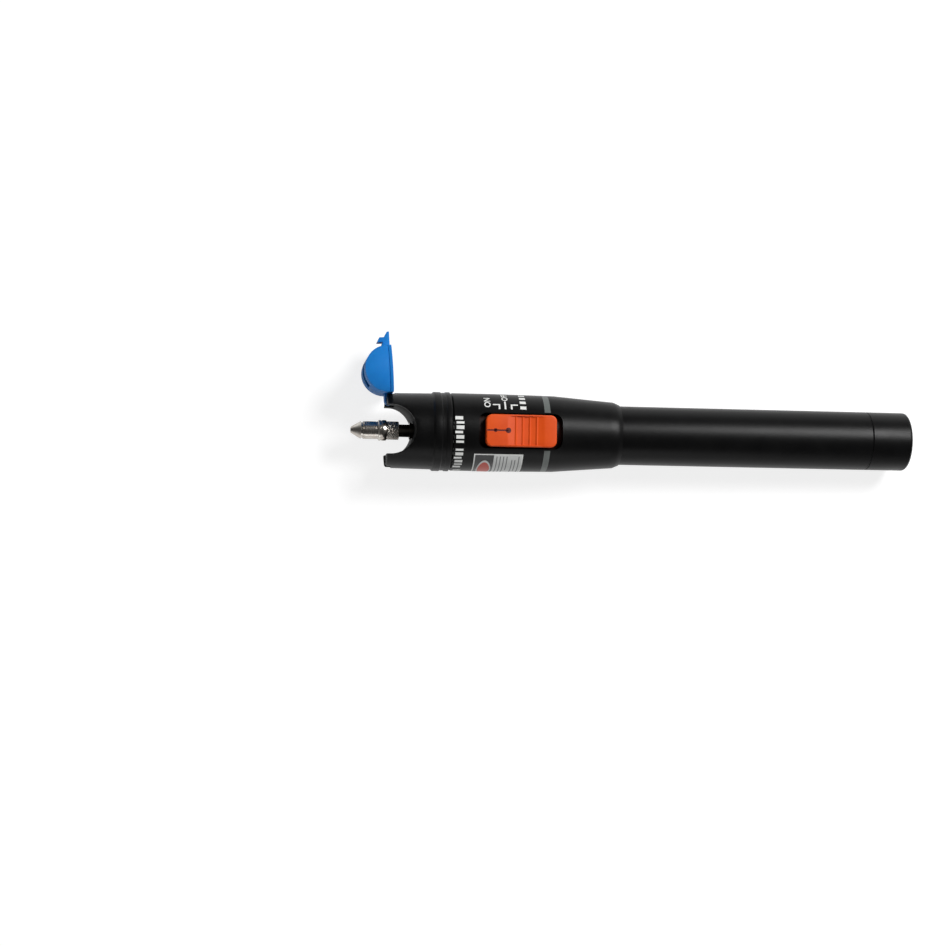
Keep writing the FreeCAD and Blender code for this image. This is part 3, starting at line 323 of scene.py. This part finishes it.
def cell_look():
    """Film on a cell: dark with a pale band near the button end, and bare ends."""
    look = Look("cell_film", (0.05, 0.055, 0.065), 0.32)
    x, y, z = look.parts()
    along = look.math("SUBTRACT", x, at(CELLS_X))
    band = look.math("PINGPONG", look.math("DIVIDE", along, CELL_LEN * MM), 1.0)
    film = look.math("GREATER_THAN", look.length(y, z), 6.6 * MM)
    field = look.mixed(look.math("LESS_THAN", band, 0.28), (0.04, 0.045, 0.06), (0.72, 0.47, 0.16))
    look.color(look.mixed(film, (0.62, 0.62, 0.6), field))
    look.feed(look.shader.inputs["Metallic"], look.span(film, 0, 1, 1.0, 0.35))
    look.rough(look.span(look.noise(2.0), 0.3, 0.7, 0.24, 0.38))
    look.bump(look.noise(6, 2), 0.02)
    return look.material


def printed(name, color, roughness=0.5):
    """Screen-printed ink, slightly uneven."""
    look = Look(name, color, roughness)
    worn = tuple(c * 0.88 for c in color)
    look.color(look.mixed(look.span(look.noise(0.35, 4), 0.45, 0.75), color, worn))
    look.rough(look.span(look.noise(0.3, 2), 0.3, 0.7, roughness - 0.06, roughness + 0.1))
    look.bump(look.noise(0.12, 2), 0.004)
    return look.material


def lens_look():
    """Clear glass."""
    look = Look("lens_glass", (0.92, 0.95, 0.97), 0.03)
    look.set(Transmission_Weight=1.0, IOR=1.6, Coat_Weight=0.5)
    look.rough(look.span(look.noise(0.5), 0.3, 0.7, 0.01, 0.04))
    return look.material


BLACK_THREAD = black_coat("black_thread", (at(153.7), at(160.9)))
BLACK_HEAD = black_coat("black_head", inside_mm=11.4)
NICKEL = turned_metal("nickel_plate", (0.56, 0.54, 0.50), (0.42, 0.37, 0.33), 0.20)
DARK_PLATE = turned_metal("dark_plate", (0.17, 0.155, 0.13), (0.11, 0.10, 0.08), 0.27)
WHITE_INK = printed("white_ink", (0.78, 0.79, 0.77))
GREY_INK = printed("grey_ink", (0.105, 0.118, 0.112), 0.42)
RED_INK = printed("red_ink", (0.50, 0.055, 0.030), 0.4)
PALE_FILM = printed("pale_film", (0.60, 0.61, 0.60), 0.38)
DARK_INK = printed("dark_ink", (0.012, 0.012, 0.013), 0.35)
LINE_INK = printed("line_ink", (0.16, 0.17, 0.17), 0.5)
MARK_INK = printed("mark_ink", (0.10, 0.004, 0.004), 0.5)

SLOTS = {
    "black_metal": black_coat(),
    "blue_plastic": moulded(
        "blue_plastic", (0.016, 0.222, 0.650), (0.014, 0.195, 0.590), 0.52, spec=0.08
    ),
    "orange_plastic": slider_look(),
    "nickel": NICKEL,
    "steel": turned_metal("bright_steel", (0.62, 0.62, 0.61), (0.50, 0.49, 0.47), 0.26),
    "brass": turned_metal("turned_brass", (0.70, 0.48, 0.20), (0.58, 0.38, 0.15), 0.24),
    "ceramic": ceramic_look(),
    "lens_glass": lens_look(),
    "rubber": rubber_look(),
    "board": board_look(),
    "black_plastic": moulded("black_plastic", (0.018, 0.018, 0.018), (0.012, 0.012, 0.012), 0.45),
    "cell_wrap": cell_look(),
}


# ---------------------------------------------------------------- CAD nodes


EDGE_ANGLE = math.radians(32)  # a steeper bend between two faces is an edge


def finish_node(name, material, bevel_mm):
    """Gives a CAD node its material and smooth shading, and rounds its edges or keeps them crisp."""
    obj = NODES[name]
    obj.data.materials.clear()
    obj.data.materials.append(material)
    for face in obj.data.polygons:
        face.use_smooth = True
        face.material_index = 0
    weld = obj.modifiers.new("Weld", "WELD")
    weld.merge_threshold = 0.002 * MM
    if bevel_mm:
        bevel = obj.modifiers.new("Edges", "BEVEL")
        bevel.width = bevel_mm * MM
        bevel.segments = 3
        bevel.limit_method = "ANGLE"
        bevel.angle_limit = EDGE_ANGLE
        bevel.use_clamp_overlap = True
        bevel.harden_normals = True
        bevel.miter_outer = "MITER_ARC"
    else:
        split = obj.modifiers.new("Edges", "EDGE_SPLIT")
        split.split_angle = EDGE_ANGLE


BEVELS = {"front_head": 0.28, "dust_cap": 0.5}
OWN_LOOKS = {"tail_cap": BLACK_THREAD, "front_head": BLACK_HEAD, "port_tube": DARK_PLATE}
for entry in frame["record"]["subparts"]:
    node = entry["node"]
    node_look = OWN_LOOKS.get(node) or SLOTS[entry["material_slot"]]
    finish_node(node, node_look, BEVELS.get(node, 0.0))


# ---------------------------------------------------------------- pieces


def piece(name, verts, faces, material, body, smooth=True):
    """A mesh piece in the row frame that moves with a body."""
    mesh = bpy.data.meshes.new(name)
    mesh.from_pydata([tuple(v) for v in verts], [], faces)
    mesh.validate()
    obj = bpy.data.objects.new(name, mesh)
    bpy.context.scene.collection.objects.link(obj)
    mesh.materials.append(material)
    for face in mesh.polygons:
        face.use_smooth = smooth
    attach(obj, body)
    return obj


def lathe(name, outline, material, body, around, shape):
    """Turns an outline of (x, radius), in millimetres, about the row's X axis.

    shape(x, angle, radius) gives the radius at an angle.
    """
    verts, faces = [], []
    for x, radius in outline:
        for n in range(around):
            angle = 2 * math.pi * n / around
            r = shape(x, angle, radius)
            verts.append((x * MM, r * math.sin(angle) * MM, r * math.cos(angle) * MM))
    for i in range(len(outline) - 1):
        for n in range(around):
            m = (n + 1) % around
            faces.append((i * around + n, i * around + m, (i + 1) * around + m, (i + 1) * around + n))
    obj = piece(name, verts, faces, material, body)
    mesh = obj.data
    tool = bmesh.new()
    tool.from_mesh(mesh)
    bmesh.ops.recalc_face_normals(tool, faces=tool.faces)
    tool.to_mesh(mesh)
    tool.free()
    mesh.set_sharp_from_angle(angle=math.radians(40))
    return obj


# ---------------------------------------------------------------- prints on the shell


def tree_of(*names):
    """A search tree over the shells of some CAD nodes."""
    verts, faces = [], []
    for name in names:
        first = len(verts)
        mesh = NODES[name].data
        verts += [v.co.copy() for v in mesh.vertices]
        faces += [tuple(first + i for i in p.vertices) for p in mesh.polygons]
    return BVHTree.FromPolygons(verts, faces)


SHELL = tree_of("main_body", "front_head")
SKIN = 12.6  # radius at which lengths round the body are measured
OUTSIDE = 0.03  # metres from the axis, clear of the shell
INK = 0.03  # height of a print above the shell, in millimetres


def on_shell(x, around, lift_mm):
    """The point of the shell x millimetres behind the fork tips and around millimetres from the top.

    around runs towards +Y, and the point is lifted off the shell by lift_mm.
    """
    angle = around / SKIN
    out = Vector((0, math.sin(angle), math.cos(angle)))
    start = Vector((at(x), 0, 0)) + out * OUTSIDE
    hit = SHELL.ray_cast(start, -out, OUTSIDE)[0]
    if hit is None:
        hit = Vector((at(x), 0, 0)) + out * SKIN * MM
    return hit + out * lift_mm * MM


def patch(name, x0, x1, s0, s1, material, lift):
    """A rectangle of ink or film on the shell, from x0 to x1 and from s0 to s1 round it."""
    nx = math.ceil(abs(x1 - x0))
    ns = math.ceil(abs(s1 - s0) / 0.4)
    verts = [
        on_shell(x0 + (x1 - x0) * i / nx, s0 + (s1 - s0) * j / ns, lift)
        for i in range(nx + 1)
        for j in range(ns + 1)
    ]
    faces = [
        (i * (ns + 1) + j, (i + 1) * (ns + 1) + j, (i + 1) * (ns + 1) + j + 1, i * (ns + 1) + j + 1)
        for i in range(nx)
        for j in range(ns)
    ]
    piece(name, verts, faces, material, "pen")


def oval(name, x, s, half_x, half_s, material, lift, inner=0.0):
    """An oval of ink on the shell, or an oval ring whose hole is inner times its size."""
    steps, rings = 48, 8
    verts, faces = [], []
    for k in range(rings + 1):
        share = inner + (1 - inner) * k / rings
        for n in range(steps):
            turn = 2 * math.pi * n / steps
            across, along = half_x * share * math.cos(turn), half_s * share * math.sin(turn)
            verts.append(on_shell(x + across, s + along, lift))
    for k in range(rings):
        for n in range(steps):
            m = (n + 1) % steps
            faces.append((k * steps + n, k * steps + m, (k + 1) * steps + m, (k + 1) * steps + n))
    piece(name, verts, faces, material, "pen")


LETTER_WIDER = 1.12  # how much wider the letters are than the font's


def word(name, text, x, s, height):
    """A word that reads round the body, away from the switch, with its foot towards the tail."""
    curve = bpy.data.curves.new(name, "FONT")
    curve.body = text
    curve.offset = 0.022
    holder = bpy.data.objects.new(name + "_curve", curve)
    bpy.context.scene.collection.objects.link(holder)
    bpy.context.view_layer.update()
    graph = bpy.context.evaluated_depsgraph_get()
    flat = bpy.data.meshes.new_from_object(holder.evaluated_get(graph))
    bpy.data.objects.remove(holder)
    scale = height / max(v.co.y for v in flat.vertices)
    left = min(v.co.x for v in flat.vertices)
    right = max(v.co.x for v in flat.vertices)
    tool = bmesh.new()
    tool.from_mesh(flat)
    cuts = math.ceil((right - left) * scale / 0.35)
    for n in range(1, cuts):
        place = left + (right - left) * n / cuts
        bmesh.ops.bisect_plane(
            tool,
            geom=tool.verts[:] + tool.edges[:] + tool.faces[:],
            plane_co=(place, 0, 0),
            plane_no=(1, 0, 0),
        )
    bmesh.ops.triangulate(tool, faces=tool.faces)
    tool.verts.index_update()
    verts = [
        on_shell(x - v.co.y * scale, s + (v.co.x - left) * scale * LETTER_WIDER, INK)
        for v in tool.verts
    ]
    faces = [tuple(v.index for v in f.verts) for f in tool.faces]
    tool.free()
    bpy.data.meshes.remove(flat)
    piece(name, verts, faces, WHITE_INK, "pen")


def degrees(angle):
    """Millimetres round the body for an angle from the top."""
    return math.radians(angle) * SKIN


def switch_prints():
    """Marks and words beside the switch."""
    foot = degrees(33.5)
    top = foot + 2.2
    stroke = 0.55
    left, middle, right = 36.1, 38.05, 40.1
    half, reach = stroke / 2, 2.1
    bar_foot, bar_lift = top - stroke, INK + 0.002
    for name, x0, x1, s0, s1, lift in (
        ("mark_left_post", left - half, left + half, foot, top, INK),
        ("mark_left_bar", left - reach, left + half, bar_foot, top, bar_lift),
        ("mark_middle", middle - half, middle + half, foot, foot + 3.6, INK),
        ("mark_right_post", right - half, right + half, foot, top, INK),
        ("mark_right_bar", right - half, right + reach, bar_foot, top, bar_lift),
    ):
        patch(name, x0, x1, s0, s1, WHITE_INK, lift)
    word("word_on", "ON", 33.2, degrees(36.5), 2.0)
    word("word_off", "OFF", 39.0, degrees(51.5), 1.9)
    dash_len, dash_pitch = 1.35, 2.45
    for n in range(4):
        start = degrees(34) + n * dash_pitch
        patch(f"blink_dash_{n}", 42.9, 44.9, start, start + dash_len, WHITE_INK, INK)


def band_prints():
    """The grey ring and the row of plain ticks that runs round the front of the body."""
    patch("grey_ring", 50.8, 52.75, degrees(29.5), degrees(330.5), GREY_INK, 0.012)
    row_x = 22.85
    space, gap = 0.6, 0.8
    start, last = degrees(20), degrees(-222)
    index = 0
    while start > last:
        if index % 7 == 6:
            wide = gap
        else:
            wide = 0.75 if index % 2 else 1.15
            half = (3.3 if index % 3 else 2.5) / 2
            patch(f"tick_{index}", row_x - half, row_x + half, start - wide, start, WHITE_INK, 0.02)
        start -= wide + space
        index += 1


def sticker():
    """A plain label: pale rim, a dark field with an oval, and a silver field with lines."""
    x0, x1, s0, s1 = 28.1, 44.1, degrees(-36.5), degrees(-112)
    rim, dark_rim = 0.35, 0.4
    dark_x0, dark_x1 = x0 + dark_rim, 34.6
    patch("label_base", x0, x1, s0, s1, WHITE_INK, INK)
    patch("label_field", x0 + rim, x1 - rim, s0 - rim, s1 + rim, PALE_FILM, 0.04)
    patch("label_dark_field", dark_x0, dark_x1, s0 - dark_rim, s1 + dark_rim, DARK_INK, 0.055)
    oval_place = ((dark_x0 + dark_x1) / 2 + 0.2, degrees(-74), 2.35, 5.6)
    oval("label_oval", *oval_place, RED_INK, 0.065)
    oval("label_oval_ring", *oval_place, PALE_FILM, 0.075, 0.84)
    # Each grey line: its place, its indent and its length.
    rows = (
        (35.6, 0.0, 12.6),
        (36.7, 0.0, 10.5),
        (37.8, 0.0, 12.6),
        (38.9, 0.0, 7.7),
        (40.6, 1.4, 9.8),
        (41.6, 1.4, 7.0),
        (42.8, 0.0, 11.2),
    )
    half = 0.16
    for n, (x, indent, length) in enumerate(rows):
        start = s0 - 0.9 - indent
        patch(f"label_line_{n}", x - half, x + half, start, start - length, LINE_INK, 0.05)


switch_prints()
band_prints()
sticker()


# ---------------------------------------------------------------- slider marks


def slider_marks():
    """Ink in the line and the dots of the slider."""
    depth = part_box("switch_slider")[1].z - 0.22 * MM
    steps = 32
    turns = [2 * math.pi * n / steps for n in range(steps)]
    for name, x, radius in (("dot_large", LARGE_DOT_X, 0.72), ("dot_small", SMALL_DOT_X, 0.43)):
        r = radius * MM
        verts = [(at(x), 0, depth)]
        verts += [(at(x) + r * math.cos(turn), r * math.sin(turn), depth) for turn in turns]
        faces = [(0, 1 + n, 1 + (n + 1) % steps) for n in range(steps)]
        piece(name, verts, faces, MARK_INK, "switch", smooth=False)
    half = 0.23 * MM
    front, back = at(LARGE_DOT_X - 7.0), at(LARGE_DOT_X)
    verts = [(front, -half, depth), (back, -half, depth), (back, half, depth), (front, half, depth)]
    piece("dot_line", verts, [(0, 1, 2, 3)], MARK_INK, "switch", smooth=False)


slider_marks()


# ---------------------------------------------------------------- adapter


# Adapter, in millimetres from its mouth.
GRIP_X, GRIP_R = 11.67, 3.0
KNURL_X0, KNURL_X1 = 11.9, 15.45
KNURL_DEPTH = 0.17


def diamond(x, angle, radius):
    """The radius with the grip's diamond knurl cut into it."""
    if not KNURL_X0 < x < KNURL_X1:
        return radius
    twist = (x - GRIP_X) / GRIP_R * 1.35
    first = abs(math.sin(9 * (angle + twist)))
    second = abs(math.sin(9 * (angle - twist)))
    return radius - KNURL_DEPTH * (1 - min(first, second) ** 0.7)


def adapter_shell():
    """The turned body of the adapter: rings, collar and knurled grip."""
    ring_1 = [(3.95, 2.05), (3.95, 2.80), (4.05, 2.93), (4.45, 2.95), (4.50, 2.83), (4.62, 2.83)]
    ring_2 = [(4.67, 2.95), (8.30, 2.95), (8.35, 2.82), (8.55, 2.82), (8.60, 2.95), (8.93, 2.95)]
    collar = [(9.02, 3.28), (9.12, 3.38), (9.70, 3.40), (9.78, 3.22), (10.05, 3.22), (10.13, 3.40)]
    step = [(11.42, 3.40), (11.58, 3.28), (GRIP_X, GRIP_R), (11.86, GRIP_R)]
    rows = 56
    grip = [(11.92 + 3.5 * n / rows, GRIP_R) for n in range(rows + 1)]
    shoulder = [(15.50, GRIP_R), (15.60, 2.92), (15.64, 2.85), (15.64, 1.30)]
    bores = [(7.95, 1.30), (7.95, 0.86), (5.6, 0.86), (5.6, 2.05), (3.95, 2.05)]
    outline = ring_1 + ring_2 + collar + step + grip + shoulder + bores
    shell = lathe("adapter_shell", outline, NICKEL, "adapter", 216, diamond)
    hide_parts("adapter_body")


adapter_shell()


# ---------------------------------------------------------------- floor, world, lights and camera


RIDGE_X, RIDGE_R = 16, 12.95  # the head's ridge, behind the fork tips
PEN_LEN, TAIL_R = 175, 9.7
CAP_LEAN = 0.0638  # how much the open cap tips the pen about its own axis
FLOOR_HALF = 1.6  # metres


def shader_tree(owner):
    """The emptied node tree of a material or world, and a function that adds a node to it."""
    owner.use_nodes = True
    tree = owner.node_tree
    tree.nodes.clear()

    def add(kind, *sources, **settings):
        """Adds a node, and feeds its first sockets with other nodes' outputs."""
        made = tree.nodes.new("ShaderNode" + kind)
        for key, setting in settings.items():
            setattr(made, key, setting)
        for socket, source in zip(made.inputs, sources):
            tree.links.new(source, socket)
        return made

    return add


def floor():
    """A white floor under what the pen lies on: ridge, tail rim and open cap."""
    slope_x = (RIDGE_R - TAIL_R) / (PEN_LEN - RIDGE_X)
    low = min(
        v.co.z - slope_x * v.co.x - CAP_LEAN * v.co.y
        for node in NODES.values()
        for v in node.data.vertices
    ) - 0.02 * MM
    corners = [(-1, -1), (1, -1), (1, 1), (-1, 1)]
    verts = [
        (x * FLOOR_HALF, y * FLOOR_HALF, low + (slope_x * x + CAP_LEAN * y) * FLOOR_HALF)
        for x, y in corners
    ]
    mesh = bpy.data.meshes.new("floor")
    mesh.from_pydata(verts, [], [(0, 1, 2, 3)])
    obj = bpy.data.objects.new("floor", mesh)
    bpy.context.scene.collection.objects.link(obj)
    material = bpy.data.materials.new("floor")
    add = shader_tree(material)
    rays = add("LightPath").outputs
    seen = add("Math", rays["Is Camera Ray"], rays["Is Glossy Ray"], operation="MAXIMUM")
    seen = add("Math", seen.outputs[0], rays["Is Transmission Ray"], operation="MAXIMUM")
    matte = add("BsdfDiffuse")
    matte.inputs["Color"].default_value = (0.34, 0.34, 0.34, 1)
    glow = add("Emission")
    glow.inputs["Strength"].default_value = 0.8
    bright = add("AddShader", matte.outputs[0], glow.outputs[0])
    mix = add("MixShader", seen.outputs[0], matte.outputs[0], bright.outputs[0])
    add("OutputMaterial", mix.outputs[0])
    mesh.materials.append(material)


def world():
    """Studio light, pale at the horizon and darker overhead, and white where the camera sees it."""
    sky = bpy.data.worlds.new("studio")
    bpy.context.scene.world = sky
    add = shader_tree(sky)
    rays = add("LightPath").outputs
    seen = add("Math", rays["Is Camera Ray"], rays["Is Transmission Ray"], operation="MAXIMUM")
    white = add("Background")
    white.inputs["Color"].default_value = (1, 1, 1, 1)
    direction = add("SeparateXYZ", add("TexCoord").outputs["Generated"]).outputs
    ramp = add("MapRange", direction["Z"])
    for key, setting in (("From Min", 0.02), ("From Max", 0.45), ("To Min", 0.8), ("To Max", 0.08)):
        ramp.inputs[key].default_value = setting
    light = add("Background")
    light.id_data.links.new(ramp.outputs["Result"], light.inputs["Strength"])
    mix = add("MixShader", seen.outputs[0], light.outputs[0], white.outputs[0])
    add("OutputWorld", mix.outputs[0])


def lamp(name, place, target, size, power):
    """A soft rectangular light. Places are in millimetres, X behind the fork tips."""
    data = bpy.data.lights.new(name, "AREA")
    data.shape = "RECTANGLE"
    data.size, data.size_y = size
    data.energy = power
    obj = bpy.data.objects.new(name, data)
    bpy.context.scene.collection.objects.link(obj)
    obj.location = Vector((at(place[0]), place[1] * MM, place[2] * MM))
    aim = Vector((at(target[0]), target[1] * MM, target[2] * MM))
    obj.rotation_mode = "QUATERNION"
    obj.rotation_quaternion = (aim - obj.location).to_track_quat("-Z", "Y")


LENS_MM = 70.253
ROLL = 0.0146  # radians


def camera():
    """The view from nearly straight above the switch."""
    data = bpy.data.cameras.new("camera")
    obj = bpy.data.objects.new("camera", data)
    bpy.context.scene.collection.objects.link(obj)
    data.sensor_width = 36
    data.lens = LENS_MM
    data.clip_start, data.clip_end = 0.01, 10
    position = Vector((at(-41.79), -40.23 * MM, 600 * MM))
    target = Vector((at(28.98), -13.33 * MM, 0))
    back = (position - target).normalized()
    right = Vector((0, 1, 0)).cross(back).normalized()
    up = back.cross(right)
    turned_right = right * math.cos(ROLL) + up * math.sin(ROLL)
    turned_up = up * math.cos(ROLL) - right * math.sin(ROLL)
    turn = Matrix((turned_right, turned_up, back)).transposed()
    obj.matrix_world = Matrix.Translation(position) @ turn.to_4x4()
    bpy.context.scene.camera = obj


floor()
world()
lamp("key", (415, 312, 568), (90, 0, 0), (0.28, 0.28), 6.0)
lamp("fill", (-20, -430, 150), (20, 0, 0), (0.5, 0.2), 0.45)
camera()
bpy.context.scene.view_settings.view_transform = "Standard"
